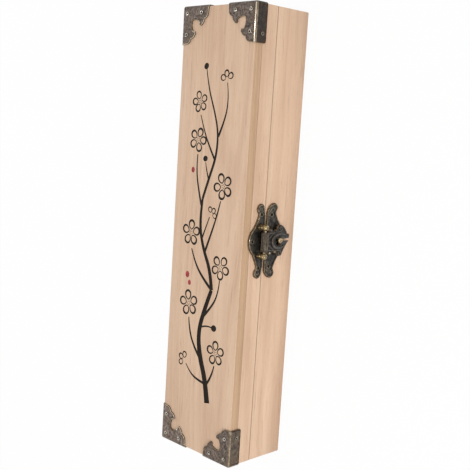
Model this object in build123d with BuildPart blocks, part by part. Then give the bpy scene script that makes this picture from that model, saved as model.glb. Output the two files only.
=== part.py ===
from build123d import *
import os
from math import cos, radians, sin, sqrt

# A long wooden brush case that lies flat, with a hinged lid, bracketed corners and a hasp.
# Millimetres. X runs along the case, the hasp faces -Y, the hinges are at +Y, +Z is up.
# The origin is the centre of the underside. Left is -X, as seen from the hasp side.

# The case
case_length = 310
case_width = 70
base_height = 30
lid_height = 20
side_wall = 7
end_wall = 7
lid_board = 7
floor_board = 4
lap = 3.5            # how deep the end boards and the floor are let into the long boards
arris = 0.4          # bevel on the edges that meet at the seam
top_arris = 0.5      # bevel around the top of the lid board
pick_reach = 0.01    # how near an edge lies to the place it is picked by

# Nails: round heads on short shanks, in holes a little wider than the shank
nail_head_radius = 1.15
nail_head_height = 0.55
nail_radius = 0.5
nail_length = 4
nail_fit = 0.05

# Corner brackets, pressed from sheet, measured along u and v from the corner of the lid
sheet = 0.9
bracket_leg = 25.4
skirt_depth = 9.2
fold_radius = 1.6
skirt_corner = 1.5
bracket_scallops = [
    (9.2, 9.2),
    (12.4, 8.7), (15.2, 9.6),
    (16.5, 10.6), (16.4, 11.9),
    (17.6, 12.8), (19.2, 12.0),
    (20.9, 10.3), (21.3, 8.3),
    (23.6, 7.4), (24.9, 5.0),
]
bracket_nails = [(4.2, 4.2), (18.6, 4.2), (4.2, 18.6)]
skirt_nail_run = 19.5
skirt_nail_drop = 5.2

# Hasp, measured from the seam upwards and from the middle of the case
plate = 1.3
plate_rim = 0.8      # thickness of the plates' lower border
rim_width = 0.7      # how wide that border is
bulge_radius = 11.6
bulge_half_width = 9.4
bulge_top = 15.2
bulge_step = 0.6     # ledge where the bulge meets the ears
lid_ear_radius = 3.6
lid_ear = (21.7, 4.8)
lid_ear_side = [(13.8, 8.2), (17.2, 6.9), (18.4, 6.8), (19.5, 7.65)]
lid_ear_heel = [(19.4, 0.85), (17.5, 0.1)]
lid_plate_nails = [(-18.2, 4.0), (18.2, 4.0), (0, 11.4)]
catch_half_outline = [
    (17.5, -1.0),
    (23.2, -2.6), (25.5, -6.6),
    (24.7, -10.3), (22.3, -11.6),
    (20.9, -11.0), (19.4, -10.3),
    (16.0, -11.6), (12.2, -14.0),
    (7.2, -16.4), (0, -17.4),
]
catch_plate_nails = [(-17.8, -6.1), (17.8, -6.1)]
axle_rise = 3.6      # hasp axle above the seam
axle_stand = 4.8     # hasp axle out from the front of the case
axle_radius = 0.9
axle_fit = 0.05
barrel_radius = 2.25
barrel_length = 13.4
lug_ball_radius = 2.35
lug_offset = 9.7
lug_width = 2.4
lug_depth = 3.4
lug_inner = 7.3

# The leaf hangs from the axle and leans towards the case. Its outline is in its own plane:
# x across, y up from the axle. Its sides start alike, and end in a round curl and in a point.
leaf_lean = 6
leaf = 1.4
leaf_root = (6.3, -1.2)
leaf_shoulder = [
    (6.5, -3.4),
    (7.9, -4.0), (9.0, -5.5),
    (8.2, -6.9), (7.2, -7.8),
    (6.8, -9.0), (7.2, -10.1),
    (8.3, -11.1), (7.3, -12.1),
    (6.9, -12.8), (7.6, -13.3),
]
leaf_right_scroll = [
    (10.3, -13.7), (11.0, -16.3),
    (8.7, -20.8), (5.2, -23.6),
    (4.6, -23.9), (4.4, -24.6),
    (4.2, -26.1), (2.9, -26.6),
    (1.7, -26.3), (0.9, -25.4),
]
leaf_left_scroll = [
    (9.6, -13.9), (10.4, -16.3),
    (10.0, -18.4), (8.6, -19.4),
    (6.1, -20.9), (4.0, -22.6),
    (1.9, -24.5), (0, -26.8),
]
leaf_drop = 26.8
leaf_slit = 1.6
slit_shift = 0.5     # the slit and the post are a little right of the middle
eye_drop = 14.0
eye_radius = 3.3
ring_radius = 5.2
ring_rise = 0.5

# The post that the leaf's eye drops over
post_drop = -10.7
post_radius = 0.6
collar_radius = 1.8
collar = 1.0
post_neck_end = 5.7
post_head_radius = 2.0
post_head = 1.2
post_head_round = 0.9
post_dimple_radius = 0.65
post_dimple = 0.8
post_tail_radius = 0.8
post_tail = 4

# Hinges, leaves face to face with the back of the case
hinge_offset = 95
hinge_length = 22
hinge_leaf_height = 9.5
hinge_leaf = 0.8
hinge_corner = 2
knuckle_length = 8   # the lid's knuckle, between the two on the base
knuckle_radius = 1.6
knuckle_gap = 0.3    # between the knuckles and the wood, and between the leaves and the seam
knuckle_split = 0.15
hinge_pin_radius = 0.8
hinge_pin_fit = 0.05
hinge_nail_run = 7
hinge_nail_rise = 6

# Worked out from the sizes above
half_length = case_length / 2
half_width = case_width / 2
seam = base_height
top = base_height + lid_height
rail_top = top - lid_board
nail_hole = nail_radius + nail_fit
post_tail_hole = post_tail_radius + nail_fit
axle_hole = axle_radius + axle_fit
axle_length = 2 * (lug_offset + sqrt(lug_ball_radius**2 - axle_hole**2))
hinge_axis_y = half_width + knuckle_gap + knuckle_radius
beyond = 5           # how far a cutter runs past the face it enters

# Planes on the faces that carry metalwork: local x along the case, local y up
front_face = Plane(origin=(0, -half_width, 0), x_dir=(1, 0, 0), z_dir=(0, -1, 0))
back_face = Plane(origin=(0, half_width, 0), x_dir=(-1, 0, 0), z_dir=(0, 1, 0))

os.makedirs("parts", exist_ok=True)


def save(piece, name):
    """Label a finished piece and write it as a node of its own."""
    piece.part.label = name
    export_step(piece.part, f"parts/{name}.step")


def both_ends(distance, across):
    """The same spot near the left and the right end."""
    return [(-distance, across), (distance, across)]


def arcs(points):
    """Arcs in one run: each passes through the next point and ends at the one after it."""
    for start in range(0, len(points) - 2, 2):
        ThreePointArc(points[start], points[start + 1], points[start + 2])


# One nail, its head seated on z = 0 and its shank going down
nail_cap_radius = (nail_head_radius**2 + nail_head_height**2) / (2 * nail_head_height)
with BuildPart() as nail:
    with BuildSketch(Plane.XZ):
        with BuildLine():
            Line((0, 0), (nail_head_radius, 0))
            RadiusArc((nail_head_radius, 0), (0, nail_head_height), -nail_cap_radius)
            Line((0, nail_head_height), (0, 0))
        make_face()
    revolve(axis=Axis.Z)
    with Locations((0, 0, -nail_length / 2)):
        Cylinder(nail_radius, nail_length)


def drive_nails(plane, places, seat):
    """Nails in one plane, with their heads seated at a height above it."""
    with BuildPart(plane) as nails:
        with Locations(*[(x, y, seat) for x, y in places]):
            add(nail.part)
    return nails


def long_board(side, low, high, floor_depth, seam_height):
    """Board along the front (side -1) or the back (+1), rabbeted for the ends and the floor."""
    centre = side * (half_width - side_wall / 2)
    inner = side * (half_width - side_wall + lap / 2)
    with BuildPart() as board:
        with BuildSketch(Plane.XY.offset(low)):
            with Locations((0, centre)):
                Rectangle(case_length, side_wall)
        extrude(amount=high - low)
        with BuildSketch(Plane.XY.offset(low)):
            with Locations(*both_ends(half_length - end_wall / 2, inner)):
                Rectangle(end_wall, lap)
        extrude(amount=high - low, mode=Mode.SUBTRACT)
        if floor_depth:
            with BuildSketch(Plane.XY.offset(low)):
                with Locations((0, inner)):
                    Rectangle(case_length, lap)
            extrude(amount=floor_depth, mode=Mode.SUBTRACT)
        outer = board.edges().filter_by(Axis.X).filter_by_position(
            Axis.Y, side * half_width - pick_reach, side * half_width + pick_reach
        )
        seam_edges = outer.filter_by_position(Axis.Z, seam_height - pick_reach, seam_height + pick_reach)
        chamfer(seam_edges, arris)
    return board


def end_board(side, low, high, floor_depth, seam_height):
    """Board across the left (side -1) or the right (+1) end, between the laps of the long boards."""
    length = case_width - 2 * (side_wall - lap)
    with BuildPart() as board:
        with BuildSketch(Plane.XY.offset(low)):
            with Locations((side * (half_length - end_wall / 2), 0)):
                Rectangle(end_wall, length)
        extrude(amount=high - low)
        if floor_depth:
            with BuildSketch(Plane.XY.offset(low)):
                with Locations((side * (half_length - end_wall + lap / 2), 0)):
                    Rectangle(lap, length)
            extrude(amount=floor_depth, mode=Mode.SUBTRACT)
        outer = board.edges().filter_by(Axis.Y).filter_by_position(
            Axis.X, side * half_length - pick_reach, side * half_length + pick_reach
        )
        seam_edges = outer.filter_by_position(Axis.Z, seam_height - pick_reach, seam_height + pick_reach)
        chamfer(seam_edges, arris)
    return board


def drilled(board, plane, places, radius, depth):
    """The board with straight holes cut into one of its faces."""
    with BuildPart() as result:
        add(board.part)
        with BuildSketch(plane):
            with Locations(*places):
                Circle(radius)
        extrude(amount=-depth, mode=Mode.SUBTRACT)
    return result


# Where the nails go, on the front and on the back face
lid_plate_places = [(x, seam + rise) for x, rise in lid_plate_nails]
catch_plate_places = [(x, seam + rise) for x, rise in catch_plate_nails]
post_place = (slit_shift, seam + post_drop)
hinge_nail_columns = [
    middle + run for middle in (-hinge_offset, hinge_offset) for run in (-hinge_nail_run, hinge_nail_run)
]
hinge_lid_places = [(x, seam + hinge_nail_rise) for x in hinge_nail_columns]
hinge_base_places = [(x, seam - hinge_nail_rise) for x in hinge_nail_columns]
pilot_depth = nail_length - hinge_leaf

# Base: two long boards with two end boards let into them, and a floor let into all four
base_front_board = long_board(-1, 0, base_height, floor_board, seam)
base_front_board = drilled(base_front_board, front_face, catch_plate_places, nail_hole, nail_length - plate)
base_front_board = drilled(base_front_board, front_face, [post_place], post_tail_hole, post_tail)
save(base_front_board, "base_front_board")

base_back_board = long_board(1, 0, base_height, floor_board, seam)
base_back_board = drilled(base_back_board, back_face, hinge_base_places, nail_hole, pilot_depth)
save(base_back_board, "base_back_board")

base_left_end = end_board(-1, 0, base_height, floor_board, seam)
save(base_left_end, "base_left_end")

base_right_end = end_board(1, 0, base_height, floor_board, seam)
save(base_right_end, "base_right_end")

with BuildPart() as base_floor:
    with BuildSketch():
        Rectangle(case_length - 2 * (end_wall - lap), case_width - 2 * (side_wall - lap))
    extrude(amount=floor_board)
save(base_floor, "base_floor")

# Lid: rails jointed as the base is, under one board that covers them
lid_front_rail = long_board(-1, seam, rail_top, 0, seam)
lid_front_rail = drilled(lid_front_rail, front_face, lid_plate_places, nail_hole, nail_length - plate)
save(lid_front_rail, "lid_front_rail")

lid_back_rail = long_board(1, seam, rail_top, 0, seam)
lid_back_rail = drilled(lid_back_rail, back_face, hinge_lid_places, nail_hole, pilot_depth)
save(lid_back_rail, "lid_back_rail")

lid_left_end = end_board(-1, seam, rail_top, 0, seam)
save(lid_left_end, "lid_left_end")

lid_right_end = end_board(1, seam, rail_top, 0, seam)
save(lid_right_end, "lid_right_end")

# The corner at the front left: u runs along the case, v across it, both inwards
corner_top = Plane(origin=(-half_length, -half_width, top), x_dir=(1, 0, 0), z_dir=(0, 0, 1))
corner_front = Plane(origin=(-half_length, -half_width, top), x_dir=(1, 0, 0), z_dir=(0, -1, 0))
corner_end = Plane(origin=(-half_length, -half_width, top), x_dir=(0, -1, 0), z_dir=(-1, 0, 0))
diagonal = Plane(origin=(0, 0, 0), x_dir=(1, 1, 0), z_dir=(1, -1, 0))
front_skirt_nail = [(skirt_nail_run, -skirt_nail_drop)]
end_skirt_nail = [(-skirt_nail_run, -skirt_nail_drop)]


def to_four_corners(master):
    """The front left piece and its mirror images, by corner name."""
    front_right = mirror(master, about=Plane.YZ)
    back_left = mirror(master, about=Plane.XZ)
    back_right = mirror(front_right, about=Plane.XZ)
    return {
        "front_left": master,
        "front_right": front_right,
        "back_left": back_left,
        "back_right": back_right,
    }


# Nails of one bracket, three from above and one in each skirt
with BuildPart() as corner_nail_set:
    for plane, places in (
        (corner_top, bracket_nails),
        (corner_front, front_skirt_nail),
        (corner_end, end_skirt_nail),
    ):
        add(drive_nails(plane, places, sheet).part)

# The holes that those nails need, in the bracket and in the wood
with BuildPart() as corner_holes:
    for plane, places in (
        (corner_top, bracket_nails),
        (corner_front, front_skirt_nail),
        (corner_end, end_skirt_nail),
    ):
        with BuildSketch(plane.offset(sheet + beyond)):
            with Locations(*places):
                Circle(nail_hole)
        extrude(amount=-(beyond + nail_length))

with BuildPart() as lid_top_board:
    with BuildSketch(Plane.XY.offset(rail_top)):
        Rectangle(case_length, case_width)
    extrude(amount=lid_board)
    chamfer(lid_top_board.faces().sort_by(Axis.Z)[-1].edges(), top_arris)
    for holes in to_four_corners(corner_holes.part).values():
        add(holes, mode=Mode.SUBTRACT)
save(lid_top_board, "lid_top_board")

with BuildPart() as corner_nails:
    for nails in to_four_corners(corner_nail_set.part).values():
        add(nails)
save(corner_nails, "corner_nails")

# One bracket: a folded block, hollowed for the wood and trimmed to its scalloped outline
block = bracket_leg + sheet
with BuildPart() as corner_master:
    with BuildSketch(corner_top.offset(sheet)):
        with Locations((block / 2 - sheet, block / 2 - sheet)):
            Rectangle(block, block)
    extrude(amount=-(sheet + skirt_depth))
    folds = (
        corner_master.edges().filter_by(Axis.Z).sort_by(Axis.X).sort_by(Axis.Y)[0:1]
        + corner_master.edges().filter_by(Axis.X).group_by(Axis.Z)[-1].sort_by(Axis.Y)[0:1]
        + corner_master.edges().filter_by(Axis.Y).group_by(Axis.Z)[-1].sort_by(Axis.X)[0:1]
    )
    fillet(folds, fold_radius)
    with BuildSketch(corner_top):
        with Locations((block / 2, block / 2)):
            Rectangle(block, block)
    extrude(amount=-(skirt_depth + beyond), mode=Mode.SUBTRACT)
    with BuildSketch(corner_top.offset(sheet)):
        with BuildLine():
            arcs(bracket_scallops)
            Line(bracket_scallops[-1], (bracket_leg, 0))
            Line((bracket_leg, 0), (bracket_leg, -sheet))
            Line((bracket_leg, -sheet), (-sheet, -sheet))
            mirror(about=diagonal)
        make_face()
    extrude(amount=-(sheet + skirt_depth), mode=Mode.INTERSECT)
    low_corners = (
        corner_master.edges().filter_by(Axis.Y).group_by(Axis.Z)[0].sort_by(Axis.X)[-1:]
        + corner_master.edges().filter_by(Axis.X).group_by(Axis.Z)[0].sort_by(Axis.Y)[-1:]
    )
    fillet(low_corners, skirt_corner)
    add(corner_holes.part, mode=Mode.SUBTRACT)

for corner_name, bracket_part in to_four_corners(corner_master.part).items():
    with BuildPart() as corner:
        add(bracket_part)
    save(corner, f"corner_{corner_name}")

# Hasp: the plate on the lid, with two lugs that end in balls around the axle
axle = Axis((0, -half_width - axle_stand, seam + axle_rise), (1, 0, 0))
axle_across = Plane(origin=axle.position, x_dir=(0, 1, 0), z_dir=(1, 0, 0))
hasp_plane = Plane(origin=(0, -half_width, seam), x_dir=(1, 0, 0), z_dir=(0, -1, 0))
bulge_centre = bulge_top - bulge_radius
bulge_foot = bulge_centre + sqrt(bulge_radius**2 - bulge_half_width**2)
ear_x, ear_y = lid_ear

with BuildSketch() as lid_plate_outline:
    with BuildLine():
        RadiusArc((0, bulge_top), (bulge_half_width, bulge_foot), bulge_radius)
        step = Line((bulge_half_width, bulge_foot), (bulge_half_width + bulge_step, bulge_foot))
        ear = [(ear_x + lid_ear_radius, ear_y), (ear_x, ear_y - lid_ear_radius)]
        arcs([step @ 1] + lid_ear_side + ear + lid_ear_heel)
        Line(lid_ear_heel[-1], (0, lid_ear_heel[-1][1]))
        mirror(about=Plane.YZ)
    make_face()


def cast_plate(outline, holes):
    """A plate on the front of the case, with a lower border all round and the given holes."""
    with BuildPart() as result:
        with BuildSketch(hasp_plane):
            add(outline.sketch)
        extrude(amount=plate_rim)
        with BuildSketch(hasp_plane.offset(plate_rim)):
            add(outline.sketch)
            offset(amount=-rim_width, kind=Kind.INTERSECTION)
        extrude(amount=plate - plate_rim)
        for places, radius in holes:
            with BuildSketch(hasp_plane):
                with Locations(*places):
                    Circle(radius)
            extrude(amount=plate, mode=Mode.SUBTRACT)
    return result


with BuildPart() as hasp_lid_plate:
    add(cast_plate(lid_plate_outline, [(lid_plate_nails, nail_hole)]).part)
    with BuildSketch(hasp_plane.offset(plate)):
        with Locations((-lug_offset, axle_rise), (lug_offset, axle_rise)):
            Rectangle(lug_width, lug_depth)
    extrude(amount=axle_stand - plate)
    with Locations(*[(side * lug_offset, axle.position.Y, axle.position.Z) for side in (-1, 1)]):
        Sphere(lug_ball_radius, rotation=(0, 90, 0))
    with BuildSketch(axle_across.offset(-lug_inner)):
        Circle(lug_ball_radius + arris)
    extrude(amount=2 * lug_inner, mode=Mode.SUBTRACT)
    with BuildSketch(axle_across.offset(-axle_length)):
        Circle(axle_hole)
    extrude(amount=2 * axle_length, mode=Mode.SUBTRACT)
save(hasp_lid_plate, "hasp_lid_plate")

save(drive_nails(front_face, lid_plate_places, plate), "hasp_nails")

with BuildPart() as hasp_pin:
    with BuildSketch(axle_across.offset(-axle_length / 2)):
        Circle(axle_radius)
    extrude(amount=axle_length)
save(hasp_pin, "hasp_pin")

# Hasp arm: a barrel, a leaf that ends in scrolls, and a ring around an eye with an open slit
leaf_plane = Plane(
    origin=axle.position,
    x_dir=(1, 0, 0),
    z_dir=(0, -cos(radians(leaf_lean)), -sin(radians(leaf_lean))),
)
leaf_right = [leaf_root] + leaf_shoulder + leaf_right_scroll
leaf_left = [(-x, y) for x, y in [leaf_root] + leaf_shoulder + leaf_left_scroll]
with BuildPart() as hasp_arm:
    with BuildSketch(leaf_plane.offset(-leaf / 2)):
        with BuildLine():
            Line(leaf_left[0], leaf_right[0])
            for leaf_side in (leaf_right, leaf_left):
                Line(leaf_side[0], leaf_side[1])
                arcs(leaf_side[1:])
            Line(leaf_right[-1], leaf_left[-1])
        make_face()
    extrude(amount=leaf)
    with BuildSketch(leaf_plane.offset(leaf / 2)):
        with Locations((0, -eye_drop)):
            Circle(ring_radius)
    extrude(amount=ring_rise)
    with BuildSketch(axle_across.offset(-barrel_length / 2)):
        Circle(barrel_radius)
    extrude(amount=barrel_length)
    with BuildSketch(leaf_plane):
        with Locations((0, -eye_drop)):
            Circle(eye_radius)
        with Locations((slit_shift, -(eye_drop + leaf_drop) / 2)):
            Rectangle(leaf_slit, leaf_drop - eye_drop)
    extrude(amount=beyond, both=True, mode=Mode.SUBTRACT)
    with BuildSketch(axle_across.offset(-barrel_length / 2)):
        Circle(axle_hole)
    extrude(amount=barrel_length, mode=Mode.SUBTRACT)
save(hasp_arm, "hasp_arm")

# Catch: the plate on the base and the post that the eye drops over
with BuildSketch() as catch_plate_outline:
    with BuildLine():
        Line((0, catch_half_outline[0][1]), catch_half_outline[0])
        arcs(catch_half_outline)
        mirror(about=Plane.YZ)
    make_face()

catch_plate = cast_plate(
    catch_plate_outline,
    [(catch_plate_nails, nail_hole), ([(slit_shift, post_drop)], post_tail_hole)],
)
save(catch_plate, "catch_plate")

save(drive_nails(front_face, catch_plate_places, plate), "catch_nails")

post_plane = Plane(origin=(slit_shift, -half_width, seam + post_drop), x_dir=(1, 0, 0), z_dir=(0, -1, 0))
with BuildPart(post_plane) as catch_post:
    post_end = post_neck_end + post_head
    with Locations((0, 0, (plate - post_tail) / 2)):
        Cylinder(post_tail_radius, plate + post_tail)
    with Locations((0, 0, plate + collar / 2)):
        Cylinder(collar_radius, collar)
    with Locations((0, 0, (plate + post_neck_end) / 2)):
        Cylinder(post_radius, post_neck_end - plate)
    with Locations((0, 0, post_neck_end + post_head / 2)):
        Cylinder(post_head_radius, post_head)
    fillet(catch_post.edges().filter_by(GeomType.CIRCLE).sort_by(Axis.Y)[0], post_head_round)
    with Locations((0, 0, post_end - post_dimple / 2)):
        Cylinder(post_dimple_radius, post_dimple, mode=Mode.SUBTRACT)
save(catch_post, "catch_post")


def hinge_leaf_part(middle, upper):
    """One leaf of a hinge: the middle knuckle is on the lid's leaf, the outer two on the base's."""
    rise = 1 if upper else -1
    middle_run = [(-knuckle_length / 2, knuckle_length)]
    outer_length = (hinge_length - knuckle_length) / 2
    outer_runs = [(-hinge_length / 2, outer_length), (knuckle_length / 2, outer_length)]
    own_runs, other_runs = (middle_run, outer_runs) if upper else (outer_runs, middle_run)
    hinge_line = Plane(origin=(middle, hinge_axis_y, seam), x_dir=(0, 1, 0), z_dir=(1, 0, 0))
    leaf_face = Plane(origin=(middle, half_width, seam), x_dir=(-1, 0, 0), z_dir=(0, 1, 0))
    with BuildPart() as hinge_leaf_piece:
        with BuildSketch(leaf_face):
            with Locations((0, rise * (knuckle_gap + hinge_leaf_height / 2))):
                Rectangle(hinge_length, hinge_leaf_height)
        extrude(amount=hinge_leaf)
        rows = hinge_leaf_piece.edges().filter_by(Axis.Y).group_by(Axis.Z)
        fillet(rows[-1] if upper else rows[0], hinge_corner)
        for start, length in other_runs:
            with BuildSketch(hinge_line.offset(start - knuckle_split)):
                Circle(knuckle_radius + knuckle_gap)
            extrude(amount=length + 2 * knuckle_split, mode=Mode.SUBTRACT)
        for start, length in own_runs:
            with BuildSketch(hinge_line.offset(start + knuckle_split)):
                Circle(knuckle_radius)
                with Locations((-(knuckle_radius + knuckle_gap) / 2, rise * (knuckle_gap + hinge_leaf))):
                    Rectangle(knuckle_radius + knuckle_gap, 2 * hinge_leaf)
            extrude(amount=length - 2 * knuckle_split)
        with BuildSketch(hinge_line.offset(-hinge_length / 2)):
            Circle(hinge_pin_radius + hinge_pin_fit)
        extrude(amount=hinge_length, mode=Mode.SUBTRACT)
        with BuildSketch(leaf_face):
            with Locations(*both_ends(hinge_nail_run, rise * hinge_nail_rise)):
                Circle(nail_hole)
        extrude(amount=hinge_leaf, mode=Mode.SUBTRACT)
    return hinge_leaf_piece


# Hinges: two small ones on the back, each with two leaves and a pin
for hinge_name, middle in (("left", -hinge_offset), ("right", hinge_offset)):
    save(hinge_leaf_part(middle, True), f"hinge_{hinge_name}_lid_leaf")
    save(hinge_leaf_part(middle, False), f"hinge_{hinge_name}_base_leaf")
    with BuildPart() as hinge_pin:
        with BuildSketch(Plane(origin=(middle - hinge_length / 2, hinge_axis_y, seam), z_dir=(1, 0, 0))):
            Circle(hinge_pin_radius)
        extrude(amount=hinge_length)
    save(hinge_pin, f"hinge_{hinge_name}_pin")

save(drive_nails(back_face, hinge_lid_places, hinge_leaf), "hinge_lid_nails")
save(drive_nails(back_face, hinge_base_places, hinge_leaf), "hinge_base_nails")
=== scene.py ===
import random
from math import cos, pi, radians, sin

import bpy
from mathutils import Matrix, Vector


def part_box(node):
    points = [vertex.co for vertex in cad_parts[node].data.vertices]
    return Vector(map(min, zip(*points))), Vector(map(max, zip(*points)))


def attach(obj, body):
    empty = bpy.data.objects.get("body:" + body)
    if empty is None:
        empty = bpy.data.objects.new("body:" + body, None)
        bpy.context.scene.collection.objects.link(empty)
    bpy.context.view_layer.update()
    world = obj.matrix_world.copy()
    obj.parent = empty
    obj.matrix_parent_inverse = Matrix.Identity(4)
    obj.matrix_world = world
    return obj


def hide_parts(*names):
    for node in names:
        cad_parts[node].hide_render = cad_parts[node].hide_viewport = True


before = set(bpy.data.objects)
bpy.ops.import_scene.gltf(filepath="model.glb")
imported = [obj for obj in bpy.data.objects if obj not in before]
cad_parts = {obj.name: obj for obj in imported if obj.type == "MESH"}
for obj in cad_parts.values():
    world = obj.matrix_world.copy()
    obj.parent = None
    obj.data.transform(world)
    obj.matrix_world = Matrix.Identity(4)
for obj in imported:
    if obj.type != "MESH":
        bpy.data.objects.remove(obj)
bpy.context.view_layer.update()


# Tray and lid frames
# Pale beech boards, rabbeted and glued, sanded bare, their arrises just taken off with paper.
# The edges that meet at the seam are bevelled and painted darker, as painted shade.
MM = 0.001
seam_height, seam_reach = 30, 0.5
merge_reach, same_plane = 0.004, 1.5
arris_width = 0.15
beech_pale = (227, 196, 168)
beech_warm = (205, 171, 143)
beech_vein = (172, 136, 116)
beech_fleck = (162, 124, 96)
# How much light the painted shade at the seam leaves
seam_shade_share = 0.6
# The growth rings: how broad, how far they wander, and how strongly each part of the grain shows
ring_width, ring_wander = 2.6, 11
ring_share, fibre_share, streak_share, cloud_share = 0.8, 0.75, 0.8, 0.7
grain_spread = 0.42


def rgba(red, green, blue, share=1.0):
    """An sRGB colour from 0 to 255, and how much of its light is left, as a shader takes it."""
    linear = []
    for value in (red / 255, green / 255, blue / 255):
        linear.append(share * (value / 12.92 if value <= 0.04045 else ((value + 0.055) / 1.055) ** 2.4))
    return (*linear, 1)


def pick(*pieces):
    """Only these pieces are selected, the first one active."""
    if bpy.context.object and bpy.context.object.mode != "OBJECT":
        bpy.ops.object.mode_set(mode="OBJECT")
    bpy.ops.object.select_all(action="DESELECT")
    for piece in pieces:
        piece.select_set(True)
    bpy.context.view_layer.objects.active = pieces[0]


def choose(piece, wanted, kind="FACE"):
    """Into edit mode, with only the faces or corners for which wanted(place, normal) holds."""
    pick(piece)
    bpy.ops.object.mode_set(mode="EDIT")
    bpy.ops.mesh.select_mode(type=kind)
    bpy.ops.mesh.select_all(action="DESELECT")
    bpy.ops.object.mode_set(mode="OBJECT")
    for part in piece.data.polygons if kind == "FACE" else piece.data.vertices:
        part.select = wanted(part.center if kind == "FACE" else part.co, part.normal)
    bpy.ops.object.mode_set(mode="EDIT")


def fix_modifiers(piece):
    pick(piece)
    for modifier in list(piece.modifiers):
        bpy.ops.object.modifier_apply(modifier=modifier.name)


def recut(node, name, in_a_hole=None):
    """A piece in the shape of a node, its triangles joined into whole faces.

    Holes whose walls are the faces for which in_a_hole(centre, normal) holds are closed.
    """
    piece = bpy.data.objects.new(name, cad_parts[node].data.copy())
    bpy.context.scene.collection.objects.link(piece)
    piece.data.name = name
    pick(piece)
    bpy.ops.object.mode_set(mode="EDIT")
    bpy.ops.mesh.select_all(action="SELECT")
    bpy.ops.mesh.remove_doubles(threshold=merge_reach * MM)
    if in_a_hole:
        choose(piece, in_a_hole)
        bpy.ops.mesh.delete(type="FACE")
        bpy.ops.mesh.select_all(action="SELECT")
        bpy.ops.mesh.fill_holes(sides=0)
    bpy.ops.mesh.select_all(action="SELECT")
    bpy.ops.mesh.dissolve_limited(angle_limit=radians(same_plane))
    bpy.ops.object.mode_set(mode="OBJECT")
    return piece


def ease(piece, width, segments=2, rim=-1, angle=35):
    """Rounds the edges, in the material slot rim where one is given, and smooths the faces."""
    soft = piece.modifiers.new("eased", "BEVEL")
    soft.width = width * MM
    soft.segments = segments
    soft.limit_method = "ANGLE"
    soft.angle_limit = radians(angle)
    soft.material = rim
    soft.miter_outer = "MITER_ARC"
    fix_modifiers(piece)
    bpy.ops.object.shade_smooth_by_angle(angle=radians(angle))


def give(piece, *finishes):
    """The piece gets these finishes, in the slots from 0 up, in place of what it has."""
    piece.data.materials.clear()
    for finish in finishes:
        piece.data.materials.append(finish)


def paint(piece, slot, where):
    """Gives the faces for which where(centre, normal) holds the material in that slot."""
    for face in piece.data.polygons:
        if where(face.center, face.normal):
            face.material_index = slot


def install(piece, body, finish, *nodes):
    """The piece rides on a body and stands for the nodes. The finish is not used."""
    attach(piece, body)
    if nodes:
        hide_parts(*nodes)


class Recipe:
    """A material's nodes, added one after the other."""

    def __init__(self, name):
        self.material = bpy.data.materials.new(name)
        self.material.use_nodes = True
        self.nodes = self.material.node_tree.nodes
        self.links = self.material.node_tree.links
        self.shader = self.nodes["Principled BSDF"]
        self.place = self.nodes.new("ShaderNodeTexCoord").outputs["Object"]

    def add(self, kind, inputs, **settings):
        """A node. Each of its inputs takes a fixed value or another node's output."""
        made = self.nodes.new(kind)
        for key, value in settings.items():
            setattr(made, key, value)
        for key, value in inputs.items():
            if isinstance(value, bpy.types.NodeSocket):
                self.links.new(value, made.inputs[key])
            else:
                made.inputs[key].default_value = value
        return made

    def mapped(self, source, scale=(1, 1, 1), place=(0, 0, 0), turn=(0, 0, 0)):
        inputs = {"Vector": source, "Location": place, "Rotation": turn, "Scale": scale}
        return self.add("ShaderNodeMapping", inputs).outputs[0]

    def noise(self, source, scale=1.0, detail=2.0, roughness=0.5):
        inputs = {"Vector": source, "Scale": scale, "Detail": detail, "Roughness": roughness}
        return self.add("ShaderNodeTexNoise", inputs).outputs[0]

    def sum(self, *terms):
        """Adds up (value, share) pairs."""
        total = 0
        for value, share in terms:
            inputs = {0: value, 1: share, 2: total}
            total = self.add("ShaderNodeMath", inputs, operation="MULTIPLY_ADD").outputs[0]
        return total

    def ranged(self, value, low, high, to_low=0.0, to_high=1.0):
        inputs = {"Value": value, "From Min": low, "From Max": high, "To Min": to_low, "To Max": to_high}
        return self.add("ShaderNodeMapRange", inputs).outputs[0]

    def mix(self, factor, first, second):
        """A colour between two, each a fixed colour or an output."""
        inputs = {"Factor": factor, "A": first, "B": second}
        return self.add("ShaderNodeMix", inputs, data_type="RGBA").outputs["Result"]

    def finish(self, colour, roughness, height, depth, strength=0.5):
        """Gives the material its colour, its roughness and a relief of a depth in millimetres."""
        relief = self.add("ShaderNodeBump", {"Strength": strength, "Distance": depth * MM, "Height": height})
        self.links.new(colour, self.shader.inputs["Base Color"])
        self.links.new(roughness, self.shader.inputs["Roughness"])
        self.links.new(relief.outputs[0], self.shader.inputs["Normal"])
        return self.material


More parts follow.
